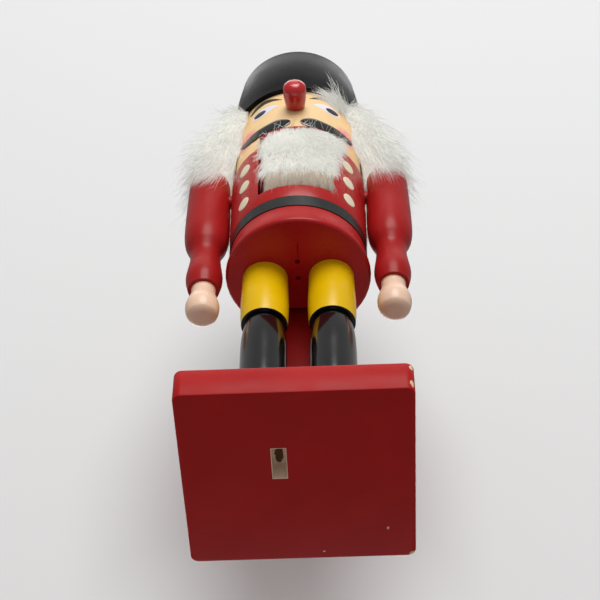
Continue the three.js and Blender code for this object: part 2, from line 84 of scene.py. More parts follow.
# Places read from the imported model
head_low, head_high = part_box("head")
hat_low, hat_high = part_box("hat")
torso_low, torso_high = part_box("torso")
beard_low, beard_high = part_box("beard")
arm_low, arm_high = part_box("right_arm")
base_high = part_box("base")[1]
lever_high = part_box("jaw_lever")[1]
trousers_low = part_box("left_trouser_leg")[0]
arm_x = (arm_low.x + arm_high.x) / 2
arm_radius = (arm_high.x - arm_low.x) / 2

# Camera: where the photograph was taken from, as seen from the standing figure
CAMERA_PLACE = Vector((26.1, -437.3, -439.5)) * MM
CAMERA_FORWARD = Vector((-0.0366, 0.629, 0.7765))
CAMERA_RIGHT = Vector((0.9982, 0.0594, -0.0011))
CAMERA_LENS = 104.74
CAMERA_SENSOR = 36
FIGURE_TURN = math.radians(-0.9)

# Face: angles from the head's front in degrees, heights above its underside and sizes in millimetres
BROW = ((13, 32.1), (22, 34.1), (31, 35.0), (40, 34.2), (48, 32.1))
BROW_WIDTH = (0.15, 1.0, 1.55, 1.6, 0.8)
EYE = ((15.5, 27.6), (25, 27.9), (35, 27.3), (44, 26.5))
EYE_WIDTH = (0.1, 2.2, 3.2, 1.2)
IRIS_ANGLE = 35.5
IRIS_HEIGHT = 27.1
IRIS_SIZE = (3.2, 2.1)
MOUSTACHE = ((4.2, 12.9), (15, 12.7), (27, 12.3), (42, 12.3), (54, 13.3), (63, 15.4))
MOUSTACHE_WIDTH = (3.1, 3.7, 3.4, 3.2, 2.4, 0.7)
BLUSH_ANGLE = 52
BLUSH_HEIGHT = 14.5
BLUSH_RADIUS = 7.5 * MM

# Buttons: angle from the chest's front in degrees, heights above the torso's underside in millimetres
BUTTON_ANGLE = 50
BUTTON_HEIGHTS = (27.2, 39.2, 50.7)
BUTTON_RADIUS = 3.35
PAINT_LIFT = 0.12 * MM
PAINT_SINK = 0.15 * MM

# Fur
STRAND_STEPS = 8
STRAND_THICKNESS = 0.19 * MM
FUR_GAP = 0.35 * MM


def srgb(red, green, blue):
    """A colour from 0 to 255 as the eye reads it, as the linear colour that a shader takes."""
    shares = np.array((red, green, blue)) / 255
    linear = np.where(shares <= 0.04045, shares / 12.92, ((shares + 0.055) / 1.055) ** 2.4)
    return (*map(float, linear), 1.0)


def unit(vectors):
    """Vectors brought to a length of 1."""
    return vectors / np.maximum(np.linalg.norm(vectors, axis=-1, keepdims=True), 1e-9)


# Paint patterns: depth of the relief, and repeats to the metre of a ragged edge
BUMP_DEPTH = 0.1 * MM
RAGGED_SCALE = 600


class Paint:
    """A material under construction. Its patterns are placed by the piece's own coordinates."""

    def __init__(self, name, **values):
        self.material = bpy.data.materials.new(name)
        self.material.use_nodes = True
        self.tree = self.material.node_tree
        self.shader = self.tree.nodes["Principled BSDF"]
        for socket, value in values.items():
            self.set(socket.replace("_", " "), value)
        self.place = self.tree.nodes.new("ShaderNodeTexCoord").outputs["Object"]

    def feed(self, socket, value):
        if isinstance(value, bpy.types.NodeSocket):
            self.tree.links.new(value, socket)
        else:
            socket.default_value = value

    def set(self, socket, value):
        self.feed(self.shader.inputs[socket], value)

    def math(self, operation, first, second=0.0):
        node = self.tree.nodes.new("ShaderNodeMath")
        node.operation = operation
        self.feed(node.inputs[0], first)
        self.feed(node.inputs[1], second)
        return node.outputs[0]

    def vector(self, operation, first, second=(0, 0, 0)):
        node = self.tree.nodes.new("ShaderNodeVectorMath")
        node.operation = operation
        self.feed(node.inputs[0], first)
        self.feed(node.inputs[1], second)
        return node.outputs["Value" if operation in ("LENGTH", "DISTANCE") else "Vector"]

    def noise(self, scale, detail=3.0, stretch=(1, 1, 1)):
        """Cloudy values from about 0.2 to 0.8, with scale repeats to the metre.
        They are drawn out along an axis where stretch is small."""
        node = self.tree.nodes.new("ShaderNodeTexNoise")
        self.feed(node.inputs["Vector"], self.vector("MULTIPLY", self.place, stretch))
        node.inputs["Scale"].default_value = scale
        node.inputs["Detail"].default_value = detail
        return node.outputs["Fac"]

    def ramp(self, value, low, high):
        """0 below low, 1 above high, and smooth between them."""
        node = self.tree.nodes.new("ShaderNodeMapRange")
        node.interpolation_type = "SMOOTHSTEP"
        self.feed(node.inputs["Value"], value)
        self.feed(node.inputs["From Min"], low)
        self.feed(node.inputs["From Max"], high)
        return node.outputs["Result"]

    def mix(self, share, first, second):
        node = self.tree.nodes.new("ShaderNodeMix")
        node.data_type = "RGBA"
        self.feed(node.inputs["Factor"], share)
        self.feed(node.inputs[6], first)
        self.feed(node.inputs[7], second)
        return node.outputs[2]

    def between(self, share, first, second):
        """A number that goes from first to second with share."""
        return self.math("ADD", first, self.math("MULTIPLY", share, second - first))

    def bump(self, height, strength):
        node = self.tree.nodes.new("ShaderNodeBump")
        node.inputs["Strength"].default_value = strength
        node.inputs["Distance"].default_value = BUMP_DEPTH
        self.feed(node.inputs["Height"], height)
        self.set("Normal", node.outputs["Normal"])

    def spot(self, centre, reach, ragged):
        """1 in a rounded patch of that reach along each axis, with a ragged edge, and 0 outside."""
        away = self.vector("SUBTRACT", self.place, centre)
        away = self.vector("DIVIDE", away, reach)
        distance = self.vector("LENGTH", away)
        rough = self.math("SUBTRACT", self.noise(RAGGED_SCALE, 4.0), 0.5)
        distance = self.math("ADD", distance, self.math("MULTIPLY", rough, ragged))
        return self.math("SUBTRACT", 1.0, self.ramp(distance, 0.9, 1.05))

    def within(self, centre, half):
        """1 inside a box, 0 outside."""
        away = self.vector("ABSOLUTE", self.vector("SUBTRACT", self.place, centre))
        parts = self.tree.nodes.new("ShaderNodeSeparateXYZ")
        self.feed(parts.inputs[0], self.vector("SUBTRACT", half, away))
        least = self.math("MINIMUM", parts.outputs[0], parts.outputs[1])
        least = self.math("MINIMUM", least, parts.outputs[2])
        return self.math("GREATER_THAN", least, 0.0)


def shade(colour, share):
    """A colour made darker or lighter."""
    return (colour[0] * share, colour[1] * share, colour[2] * share, 1.0)


GRAIN_UPRIGHT = (1, 1, 0.06)
GRAIN_ACROSS = (0.06, 1, 1)
WOOD_PALE = srgb(236, 208, 170)
WOOD_DARK = srgb(200, 160, 116)


def painted(name, colour, roughness, grain=GRAIN_UPRIGHT, relief=0.05, **shader):
    """Paint on turned wood: a little uneven in tone and gloss, with the grain just showing through."""
    paint = Paint(name, **shader)
    cloud = paint.noise(45, 4.0)
    tone = paint.mix(paint.ramp(cloud, 0.3, 0.7), shade(colour, 0.93), shade(colour, 1.05))
    streak = paint.noise(1100, 3.0, grain)
    paint.tone = paint.mix(paint.math("MULTIPLY", streak, 0.12), tone, shade(colour, 0.8))
    paint.set("Base Color", paint.tone)
    handled = paint.ramp(paint.noise(90, 5.0), 0.35, 0.75)
    paint.set("Roughness", paint.between(handled, roughness * 0.88, roughness * 1.2))
    peel = paint.math("ADD", streak, paint.noise(420, 2.0))
    paint.bump(peel, relief)
    return paint


def chip(paint, places):
    """Bare wood where the paint is chipped off, at rounded patches given by centre, reach and raggedness."""
    chipped = 0.0
    for centre, reach, ragged in places:
        chipped = paint.math("MAXIMUM", chipped, paint.spot(centre, reach, ragged))
    wood = paint.mix(paint.noise(900, 3.0, GRAIN_ACROSS), shade(WOOD_PALE, 0.8), WOOD_PALE)
    paint.tone = paint.mix(chipped, paint.tone, wood)


RED = srgb(176, 30, 30)
BOOT_BLACK = srgb(14, 14, 15)

# Base: chips on its rounded edges and underside, the hole in its underside, and painted shade that darkens
# the deep end of the hole
CORNER_INSET = 0.9 * MM
CHIP_RAGGED = 1.8
SPECK_RAGGED = 1.5
HOLE_CENTRE = Vector((-6.4, -7.8, 3.75)) * MM
HOLE_HALF = Vector((2.75, 7.45, 3.9)) * MM
# Painted shade at the deep end of the hole: its centre, reach, raggedness and colour
HOLE_SHADE_CENTRE = Vector((-6.8, -5.2, 7.5)) * MM
HOLE_SHADE_REACH = Vector((1.6, 4.2, 3)) * MM
HOLE_SHADE_RAGGED = 1.2
HOLE_PALE = srgb(255, 240, 222)
HOLE_DARK = srgb(236, 208, 180)
HOLE_SHADE = srgb(104, 76, 58)


def red_board():
    """The base: satin red, chipped at two corners and underneath, with a raw oblong hole in its underside
    whose deep end is darkened with painted shade.
    """
    paint = painted("red_board", RED, 0.38, GRAIN_ACROSS, 0.06, Specular_IOR_Level=0.09)
    corner_x = base_high.x - CORNER_INSET
    corner_y = base_high.y - CORNER_INSET
    chip(paint, (
        (Vector((corner_x, -corner_y, 11.2 * MM)), Vector((0.9, 0.9, 1.1)) * MM, CHIP_RAGGED),
        (Vector((corner_x, -corner_y, 3 * MM)), Vector((0.9, 0.9, 2.2)) * MM, CHIP_RAGGED),
        (Vector((corner_x, corner_y, 0)), Vector((1.8, 1.8, 1.4)) * MM, CHIP_RAGGED),
        (Vector((31.4, 26.5, 0)) * MM, Vector((0.35, 0.7, 0.3)) * MM, SPECK_RAGGED),
        (Vector((7.8, 37.7, 0)) * MM, Vector((0.5, 0.4, 0.3)) * MM, SPECK_RAGGED),
    ))
    wood = paint.mix(paint.noise(700, 4.0, GRAIN_ACROSS), HOLE_DARK, HOLE_PALE)
    hole = paint.within(HOLE_CENTRE, HOLE_HALF)
    # Painted shade: the deep end of the hole is darkened where little light reaches
    deep_shade = paint.spot(HOLE_SHADE_CENTRE, HOLE_SHADE_REACH, HOLE_SHADE_RAGGED)
    inside = paint.mix(deep_shade, wood, HOLE_SHADE)
    paint.set("Base Color", paint.mix(hole, paint.tone, inside))
    return paint.material


def red_coat():
    """The torso: glossy red, with a short crack in its underside and a small chip on its lower edge."""
    paint = painted("red_coat", RED, 0.3, relief=0.05, Specular_IOR_Level=0.24)
    crack = paint.spot(Vector((0.0004, -0.014, torso_low.z)), Vector((0.16, 4.4, 0.5)) * MM, 0.6)
    speck = paint.spot(Vector((3.5, -27.4, 115.5)) * MM, Vector((0.45, 0.6, 0.5)) * MM, 0.8)
    dark = paint.mix(crack, paint.tone, srgb(40, 8, 8))
    paint.set("Base Color", paint.mix(speck, dark, WOOD_PALE))
    return paint.material


def face_skin():
    """The head: warm cream, with a soft pink blush on each cheek."""
    colour = srgb(250, 212, 156)
    paint = painted("face_skin", colour, 0.36, relief=0.05)
    radius = head_high.x
    blush = 0.0
    for _, sign in SIDES:
        angle = math.radians(BLUSH_ANGLE) * sign
        centre = Vector((
            radius * math.sin(angle),
            -radius * math.cos(angle),
            head_low.z + BLUSH_HEIGHT * MM,
        ))
        away = paint.vector("DISTANCE", paint.place, centre)
        near = paint.math("SUBTRACT", 1.0, paint.ramp(away, BLUSH_RADIUS * 0.35, BLUSH_RADIUS))
        blush = paint.math("MAXIMUM", blush, near)
    share = paint.math("MULTIPLY", blush, 0.85)
    paint.set("Base Color", paint.mix(share, paint.tone, srgb(243, 138, 158)))
    return paint.material


def trousers():
    """The trouser legs: glossy yellow, with the step under the hem painted black together with the boots."""
    paint = painted("yellow_trousers", srgb(236, 190, 2), 0.26, relief=0.04, Specular_IOR_Level=0.34)
    parts = paint.tree.nodes.new("ShaderNodeSeparateXYZ")
    paint.feed(parts.inputs[0], paint.place)
    edge = trousers_low.z + 0.4 * MM
    yellow = paint.math("GREATER_THAN", parts.outputs["Z"], edge)
    paint.set("Base Color", paint.mix(yellow, BOOT_BLACK, paint.tone))
    return paint.material


def bare_wood():
    """Raw wood with an upright grain, for pins and dowels."""
    paint = Paint("bare_wood", Roughness=0.75)
    grain = paint.noise(900, 4.0, GRAIN_UPRIGHT)
    paint.set("Base Color", paint.mix(grain, WOOD_DARK, WOOD_PALE))
    return paint.material


def plain(name, colour, roughness, **shader):
    """One even colour, for small painted marks and for fur."""
    return Paint(name, Base_Color=colour, Roughness=roughness, **shader).material


finish = {
    "board": red_board(),
    "coat": red_coat(),
    "sleeve": painted("red_sleeve", shade(RED, 0.86), 0.32, Specular_IOR_Level=0.18).material,
    # The lever's red is painted darker than the coat's: painted shade for where it hangs behind the legs
    # under the skirt
    "lever": painted("red_lever_painted_shade", shade(RED, 0.72), 0.45, relief=0.08, Specular_IOR_Level=0.1).material,
    "nose": painted(
        "red_nose", srgb(190, 22, 22), 0.24, relief=0.03, Coat_Weight=0.35, Coat_Roughness=0.1,
    ).material,
    "boot": painted(
        "black_boot", BOOT_BLACK, 0.16, relief=0.03, Coat_Weight=0.7, Coat_Roughness=0.06,
    ).material,
    "hat": painted("black_hat", srgb(16, 16, 16), 0.3, relief=0.05, Specular_IOR_Level=0.09).material,
    "belt": painted("black_belt", srgb(22, 26, 25), 0.3, relief=0.04).material,
    "trousers": trousers(),
    "skin": face_skin(),
    "hand": painted("hand_skin", srgb(244, 207, 180), 0.3, relief=0.05, Specular_IOR_Level=0.35).material,
    "wood": bare_wood(),
    "eye_white": plain("eye_white", srgb(236, 232, 240), 0.35),
    "iris": plain("iris_slate", srgb(40, 44, 56), 0.3),
    "brow": plain("brow_brown", srgb(78, 68, 53), 0.4),
    "moustache": plain("moustache_black", srgb(16, 14, 15), 0.16, Coat_Weight=0.5, Coat_Roughness=0.08),
    "button": plain("button_cream", srgb(233, 222, 192), 0.4),
    "fur": plain("fur_white", srgb(236, 236, 231), 0.7, Specular_IOR_Level=0.1),
    "undercoat": plain("fur_undercoat", srgb(232, 230, 224), 0.9, Specular_IOR_Level=0.0),
    # Darker fur for the beard's fringe: painted shade under the jaw and the tuft
    "fur_shaded": plain("fur_shaded", srgb(206, 194, 178), 0.8, Specular_IOR_Level=0.1),
}

# CAD nodes keep their shape, shaded smoothly over the turned faces
FINISH_OF = {
    "base": "board", "torso": "coat", "belt": "belt", "head": "skin", "nose": "nose", "hat": "hat",
    "jaw_lever": "lever", "hinge_pin": "wood", "hat_dowel": "wood",
}
for side, _ in SIDES:
    FINISH_OF[f"{side}_boot"] = "boot"
    FINISH_OF[f"{side}_boot_toe"] = "boot"
    FINISH_OF[f"{side}_trouser_leg"] = "trousers"
    FINISH_OF[f"{side}_arm"] = "sleeve"
    FINISH_OF[f"{side}_hand"] = "hand"
    FINISH_OF[f"{side}_shoulder_dowel"] = "sleeve"
    for place in ("base", "hip", "neck"):
        FINISH_OF[f"{side}_{place}_dowel"] = "wood"

SMOOTH_BELOW = math.radians(33)
WELD_REACH = 0.002 * MM


def smooth(node):
    """Rounds a CAD node's shading over edges that are nearly flat, without moving a vertex."""
    mesh = node.data
    for name in ("custom_normal", "sharp_edge", "sharp_face"):
        if name in mesh.attributes:
            mesh.attributes.remove(mesh.attributes[name])
    mesh.polygons.foreach_set("use_smooth", [True] * len(mesh.polygons))
    weld = node.modifiers.new("weld", "WELD")
    weld.merge_threshold = WELD_REACH
    split = node.modifiers.new("split", "EDGE_SPLIT")
    split.split_angle = SMOOTH_BELOW
    split.use_edge_sharp = False


for name, kind in FINISH_OF.items():
    nodes[name].data.materials.clear()
    nodes[name].data.materials.append(finish[kind])
    smooth(nodes[name])
for name in ("beard", "hair"):
    nodes[name].data.materials.clear()
    nodes[name].data.materials.append(finish["fur"])


def piece(name, points, faces, material, body):
    """A mesh piece from points and faces, smoothly shaded, that rides on a body."""
    mesh = bpy.data.meshes.new(name)
    mesh.from_pydata([tuple(p) for p in points], [], [tuple(f) for f in faces])
    mesh.polygons.foreach_set("use_smooth", [True] * len(mesh.polygons))
    mesh.materials.append(material)
    made = bpy.data.objects.new(name, mesh)
    scene.collection.objects.link(made)
    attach(made, body)
    return made


def tree_of(node):
    """A CAD node's surface, ready to be met by rays."""
    mesh = nodes[node].data
    return BVHTree.FromPolygons([v.co for v in mesh.vertices], [p.vertices for p in mesh.polygons])


# Turned pieces: the CAD outline, with its curves drawn out finely and many more sides
TURNED_SIDES = 96
CURVE_STEPS = 6
CORNER = math.radians(38)
FEWEST_SIDES = 12
RIM_SHARE = 0.99
OUTSIDE_SHARE = 0.985
STEP_IN = 0.02 * MM
RAYS_ROUND = 24
RAY_START = 0.1


def outline_of(node, along, reach):
    """A turned node's outline, as distance from its axis and place along it, from the node's own corners.
    Corners in a hole or on its rim are left out: they aren't on the outside, or too few share a level."""
    corners = np.array([v.co for v in nodes[node].data.vertices])
    axis = (corners.min(0) + corners.max(0)) / 2
    across, beside = (corners[:, k] - axis[k] for k in range(3) if k != along)
    distance = np.hypot(across, beside)
    angle = np.round(np.degrees(np.arctan2(beside, across)))
    place = np.round(corners[:, along] / MM, 2)
    tree = tree_of(node)
    middle = place.min() / 2 + place.max() / 2
    outline = []
    for level in np.unique(place):
        if not reach[0] <= level * MM <= reach[1]:
            continue
        radius = distance[place == level].max()
        rim = np.unique(angle[(place == level) & (distance > RIM_SHARE * radius)])
        inward = level * MM + math.copysign(STEP_IN, middle - level)
        outside = OUTSIDE_SHARE * outer_radius(tree, axis, along, inward)
        if len(rim) >= FEWEST_SIDES and radius > outside:
            outline.append((radius, level * MM))
    return axis, np.array(outline)


def outer_radius(tree, axis, along, level):
    """How far the outside of a turned node is from its axis at a level."""
    found = []
    for angle in np.linspace(0, 2 * math.pi, RAYS_ROUND, endpoint=False):
        aim = np.insert((math.cos(angle), math.sin(angle)), along, 0.0)
        centre = axis.copy()
        centre[along] = level
        hit = tree.ray_cast(Vector(centre + aim * RAY_START), Vector(-aim))[3]
        found.append(0.0 if hit is None else RAY_START - hit)
    return max(found)


def drawn_out(points):
    """An outline with finer steps: smooth through gentle bends, sharp at corners."""
    steps = np.diff(points, axis=0)
    lengths = np.linalg.norm(steps, axis=1)
    aims = steps / lengths[:, None]
    turns = np.arccos(np.clip((aims[1:] * aims[:-1]).sum(1), -1, 1))
    fine = [points[0]]
    for k in range(len(steps)):
        start = aims[k] if k == 0 or turns[k - 1] > CORNER else unit(aims[k - 1] + aims[k])
        end = aims[k] if k == len(steps) - 1 or turns[k] > CORNER else unit(aims[k] + aims[k + 1])
        for t in np.linspace(0, 1, CURVE_STEPS + 1)[1:]:
            fine.append(
                points[k] * (1 + 2 * t) * (1 - t) ** 2
                + start * lengths[k] * t * (1 - t) ** 2
                + points[k + 1] * t * t * (3 - 2 * t)
                - end * lengths[k] * t * t * (1 - t)
            )
    return np.array(fine)


def eased(points, ease):
    """An outline whose first corner is rounded off over a length."""
    gone = np.cumsum(np.linalg.norm(np.diff(points, axis=0), axis=1))
    after = int(np.argmax(gone >= ease)) + 1
    level = points[0] - (ease, 0)
    bend = [
        level * (1 - t) ** 2 + points[0] * 2 * t * (1 - t) + points[after] * t * t
        for t in np.linspace(0, 1, 12)
    ]
    return np.concatenate([bend, points[after + 1:]])


def turned_copy(node, along=2, reach=(-1, 1), ease=0.0):
    """A finely turned piece in place of a CAD node."""
    axis, outline = outline_of(node, along, reach)
    outline = drawn_out(outline)
    if ease:
        outline = eased(outline, ease)
    others = [k for k in range(3) if k != along]
    angles = np.linspace(0, 2 * math.pi, TURNED_SIDES, endpoint=False)
    points = np.zeros((len(outline), TURNED_SIDES, 3))
    points[:, :, others[0]] = axis[others[0]] + outline[:, :1] * np.cos(angles)
    points[:, :, others[1]] = axis[others[1]] + outline[:, :1] * np.sin(angles)
    points[:, :, along] = outline[:, 1:]
    count = len(outline)
    faces = []
    for i in range(count - 1):
        for j in range(TURNED_SIDES):
            beside = (j + 1) % TURNED_SIDES
            low, high = i * TURNED_SIDES, (i + 1) * TURNED_SIDES
            faces.append((low + j, low + beside, high + beside, high + j))
    faces.append(tuple(reversed(range(TURNED_SIDES))))
    faces.append(tuple(range((count - 1) * TURNED_SIDES, count * TURNED_SIDES)))
    if along == 1:
        faces = [tuple(reversed(face)) for face in faces]
    made = piece(f"{node}_turned", points.reshape(-1, 3), faces, finish[FINISH_OF[node]], "figure")
    made.data.set_sharp_from_angle(angle=SMOOTH_BELOW)
    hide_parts(node)


HAND_EASE = 2.2 * MM
turned_copy("hat")
turned_copy("nose", 1, (-1, -head_high.x))
for side, _ in SIDES:
    turned_copy(f"{side}_boot", 2, (0, trousers_low.z))
    turned_copy(f"{side}_trouser_leg")
    turned_copy(f"{side}_arm")
    turned_copy(f"{side}_hand", 2, (0, arm_low.z), HAND_EASE)


# Painted marks: thin closed patches of paint that follow the turned surface under them
CLEAR_ANGLE = math.radians(62)


def radius_at(tree, height):
    """How far a turned surface is from its axis at a height, read where no hole cuts it."""
    start = Vector((math.sin(CLEAR_ANGLE), -math.cos(CLEAR_ANGLE), 0)) * RAY_START
    start.z = height
    hit = tree.ray_cast(start, Vector((-start.x, -start.y, 0)).normalized())[0]
    return math.hypot(hit.x, hit.y)


def through(values, share):
    """A smooth curve through evenly spaced values, read at shares from 0 to 1."""
    values = np.asarray(values, float)
    padded = np.concatenate([2 * values[:1] - values[1:2], values, 2 * values[-1:] - values[-2:-1]])
    at = np.clip(share, 0, 1) * (len(values) - 1)
    first = np.minimum(at.astype(int), len(values) - 2)
    t = (at - first).reshape(-1, *[1] * (values.ndim - 1))
    a, b, c, d = (padded[first + k] for k in range(4))
    square = (2 * a - 5 * b + 4 * c - d) * t ** 2
    cube = (3 * b - a - 3 * c + d) * t ** 3
    return 0.5 * (2 * b + (c - a) * t + square + cube)


STROKE_STEPS = 40
STROKE_ACROSS = 8
LEAST_HALF_WIDTH = 0.03


def stroke(name, node, low, path, widths, material, lift=PAINT_LIFT, sign=1, round_ends=0.0):
    """A brush stroke on a turned node: its path holds angles and heights, and its widths are half widths."""
    tree = tree_of(node)
    share = 0.5 - 0.5 * np.cos(np.linspace(0, math.pi, STROKE_STEPS))
    centre = through(path, share)
    half = through(widths, share)
    if round_ends:
        half = half * np.sqrt(np.clip(1 - np.abs(2 * share - 1) ** round_ends, 0.0004, 1))
    half = np.maximum(half, LEAST_HALF_WIDTH) * MM
    across = np.linspace(-1, 1, STROKE_ACROSS + 1)
    radius = radius_at(tree, low + float(centre[:, 1].mean()) * MM)
    line = np.stack([np.radians(centre[:, 0]) * radius, low + centre[:, 1] * MM], axis=1)
    along = np.gradient(line, axis=0)
    along /= np.linalg.norm(along, axis=1, keepdims=True)
    beside = np.stack([-along[:, 1], along[:, 0]], axis=1)
    top, bottom = [], []
    for i in range(STROKE_STEPS):
        for v in across:
            arc, height = line[i] + beside[i] * half[i] * v
            surface = radius_at(tree, height)
            angle = arc / radius * sign
            out = np.array((math.sin(angle), -math.cos(angle), 0))
            raised = surface + lift * (1 - 0.75 * v ** 4)
            top.append(out * raised + (0, 0, height))
            bottom.append(out * (surface - PAINT_SINK) + (0, 0, height))
    count = len(top)
    wide = STROKE_ACROSS + 1
    faces = []
    for i in range(STROKE_STEPS - 1):
        for j in range(STROKE_ACROSS):
            a = i * wide + j
            upper = (a, a + wide, a + wide + 1, a + 1)
            faces.append(upper)
            faces.append(tuple(count + k for k in reversed(upper)))
    rim = list(range(wide)) + [i * wide + STROKE_ACROSS for i in range(1, STROKE_STEPS)]
    rim += [(STROKE_STEPS - 1) * wide + j for j in range(STROKE_ACROSS - 1, -1, -1)]
    rim += [i * wide for i in range(STROKE_STEPS - 2, 0, -1)]
    for a, b in zip(rim, rim[1:] + rim[:1]):
        faces.append((a, b, count + b, count + a))
    if sign < 0:
        faces = [tuple(reversed(f)) for f in faces]
    piece(name, top + bottom, faces, material, "figure")


def oval(name, node, low, angle, height, size, material, lift=PAINT_LIFT, sign=1):
    """A painted oval on a turned node, wide along the surface and high along Z."""
    surface = radius_at(tree_of(node), low + height * MM)
    reach = math.degrees(size[0] * MM / surface)
    path = ((angle - reach, height), (angle, height), (angle + reach, height))
    stroke(name, node, low, path, (size[1],) * 3, material, lift, sign, round_ends=2.0)


for side, sign in SIDES:
    low = head_low.z
    stroke(f"{side}_eye_white", "head", low, EYE, EYE_WIDTH, finish["eye_white"], sign=sign)
    oval(f"{side}_iris", "head", low, IRIS_ANGLE, IRIS_HEIGHT, IRIS_SIZE, finish["iris"],
         2 * PAINT_LIFT, sign)
    stroke(f"{side}_brow", "head", low, BROW, BROW_WIDTH, finish["brow"], sign=sign)
    stroke(f"{side}_moustache", "head", low, MOUSTACHE, MOUSTACHE_WIDTH, finish["moustache"],
           3 * PAINT_LIFT, sign, round_ends=6.0)
    for row, height in enumerate(BUTTON_HEIGHTS):
        oval(f"{side}_button_{row + 1}", "torso", torso_low.z, BUTTON_ANGLE, height,
             (BUTTON_RADIUS, BUTTON_RADIUS), finish["button"], PAINT_LIFT, sign)


# Fur: strands that grow from their roots, droop, lie on what is under them and gather in locks
def clear_of_body(points):
    """Moves points that would be inside the hat, head, torso or arms out to just above the surface."""
    x, y, z = points.T.copy()
    below_hat = np.where(z > torso_high.z, head_high.x, torso_high.x)
    reach = np.where(z > hat_low.z, hat_high.x, below_hat) + FUR_GAP
    widen = np.maximum(1, reach / np.maximum(np.hypot(x, y), 1e-6))
    moved = np.stack([x * widen, y * widen, z], axis=1)
    dome = arm_high.z - arm_radius
    for _, sign in SIDES:
        away = moved - (sign * arm_x, 0, dome)
        away[:, 2] = np.maximum(away[:, 2], 0)
        distance = np.maximum(np.linalg.norm(away, axis=1), 1e-6)
        push = np.maximum(0, arm_radius + FUR_GAP - distance) / distance
        moved = moved + away * push[:, None]
    return moved


def as_grown(points):
    """Leaves points where they are."""
    return points


def grow(roots, start, length, droop, sway, clear=clear_of_body):
    """Strands as lines of points: each sets off in its start direction and droops as it goes."""
    line = [roots]
    heading = unit(start)
    step = (length / (STRAND_STEPS - 1))[:, None]
    for _ in range(1, STRAND_STEPS):
        heading = unit(heading + droop + chance.normal(0, sway, roots.shape))
        line.append(clear(line[-1] + heading * step))
    return np.stack(line, axis=1)


def gather(lines, every, pull):
    """Draws the strands into locks: each leans towards the nearest guide strand, most at its tip."""
    guides = lines[::every]
    tree = KDTree(len(guides))
    for k, guide in enumerate(guides):
        tree.insert(guide[0], k)
    tree.balance()
    nearest = np.array([tree.find(line[0])[1] for line in lines])
    weight = (np.linspace(0, 1, STRAND_STEPS) ** 1.3)[None, :, None]
    strength = pull * chance.uniform(0.4, 1.0, len(lines))[:, None, None]
    return lines + (guides[nearest] - lines) * weight * strength


def fur(name, lines, material):
    """One piece of fur: each line becomes a three-sided strand that tapers to a point."""
    count = len(lines)
    along = unit(np.gradient(lines, axis=1))
    side = unit(np.cross(along, chance.normal(0, 1, (count, 1, 3))))
    other = np.cross(along, side)
    taper = STRAND_THICKNESS / 2 * (1 - 0.8 * np.linspace(0, 1, STRAND_STEPS) ** 2)[None, :, None]
    taper = taper * chance.uniform(0.75, 1.25, (count, 1, 1))
    rings = [
        lines + taper * (math.cos(a) * side + math.sin(a) * other)
        for a in (0, 2 * math.pi / 3, 4 * math.pi / 3)
    ]
    body = np.stack(rings, axis=2)[:, :-1].reshape(count, -1, 3)
    points = np.concatenate([body, lines[:, -1:]], axis=1)
    tip = 3 * (STRAND_STEPS - 1)
    pattern = [(2, 1, 0)]
    for k in range(STRAND_STEPS - 2):
        for j in range(3):
            a, b = 3 * k + j, 3 * k + (j + 1) % 3
            pattern += [(a, b, b + 3), (a, b + 3, a + 3)]
    pattern += [(tip - 3 + j, tip - 3 + (j + 1) % 3, tip) for j in range(3)]
    faces = (np.array(pattern)[None] + (np.arange(count) * (tip + 1))[:, None, None]).reshape(-1, 3)
    mesh = bpy.data.meshes.new(name)
    mesh.vertices.add(count * (tip + 1))
    mesh.vertices.foreach_set("co", points.astype(np.float32).ravel())
    mesh.loops.add(faces.size)
    mesh.loops.foreach_set("vertex_index", faces.astype(np.int32).ravel())
    mesh.polygons.add(len(faces))
    mesh.polygons.foreach_set("loop_start", np.arange(0, faces.size, 3, dtype=np.int32))
    mesh.polygons.foreach_set("use_smooth", np.ones(len(faces), bool))
    mesh.update(calc_edges=True)
    mesh.validate()
    mesh.materials.append(material)
    made = bpy.data.objects.new(name, mesh)
    scene.collection.objects.link(made)
    return made


def round_head(angle, height, out=0.0):
    """Points beside the head at angles from its front and heights, in metres."""
    radius = head_high.x + out
    return np.stack([np.sin(angle) * radius, -np.cos(angle) * radius, height], axis=1)


def hair_lines(count, angles, depths, lean, length, droop, locks):
    """Hair rooted between two angles round the head and two depths under the hat.
    It sets off by lean: outwards, backwards and upwards."""
    angle = np.radians(chance.uniform(*angles, count))
    height = hat_low.z - chance.uniform(*depths, count) * MM
    roots = round_head(angle, height, FUR_GAP)
    radial = np.stack([np.sin(angle), -np.cos(angle), np.zeros(count)], axis=1)
    start = radial * lean[0] + np.array((0, lean[1], lean[2])) + chance.normal(0, 0.14, (count, 3))
    reach = chance.uniform(*length, count) * MM
    lines = grow(roots, start, reach, np.array((0, 0, -droop)), 0.09)
    return gather(lines, locks, 0.75)


def swept_lines(count, angles, depths, lean, length):
    """Hair at one temple, swept over the edge of the hat.
    It sets off by lean: forwards, outwards and upwards."""
    angle = np.radians(chance.uniform(*angles, count))
    height = hat_low.z - chance.uniform(*depths, count) * MM
    forward = np.stack([-np.cos(angle), -np.sin(angle), np.zeros(count)], axis=1)
    outward = np.stack([np.sin(angle), -np.cos(angle), np.zeros(count)], axis=1)
    start = forward * lean[0] + outward * lean[1] + np.array((0, 0, lean[2]))
    start = start + chance.normal(0, 0.1, (count, 3))
    reach = chance.uniform(*length, count) * MM
    return grow(round_head(angle, height, FUR_GAP), start, reach, np.array((-0.06, 0.02, 0)), 0.06)


def both(angles, sign):
    """A span of angles on one side of the head."""
    return tuple(sorted(sign * angle for angle in angles))


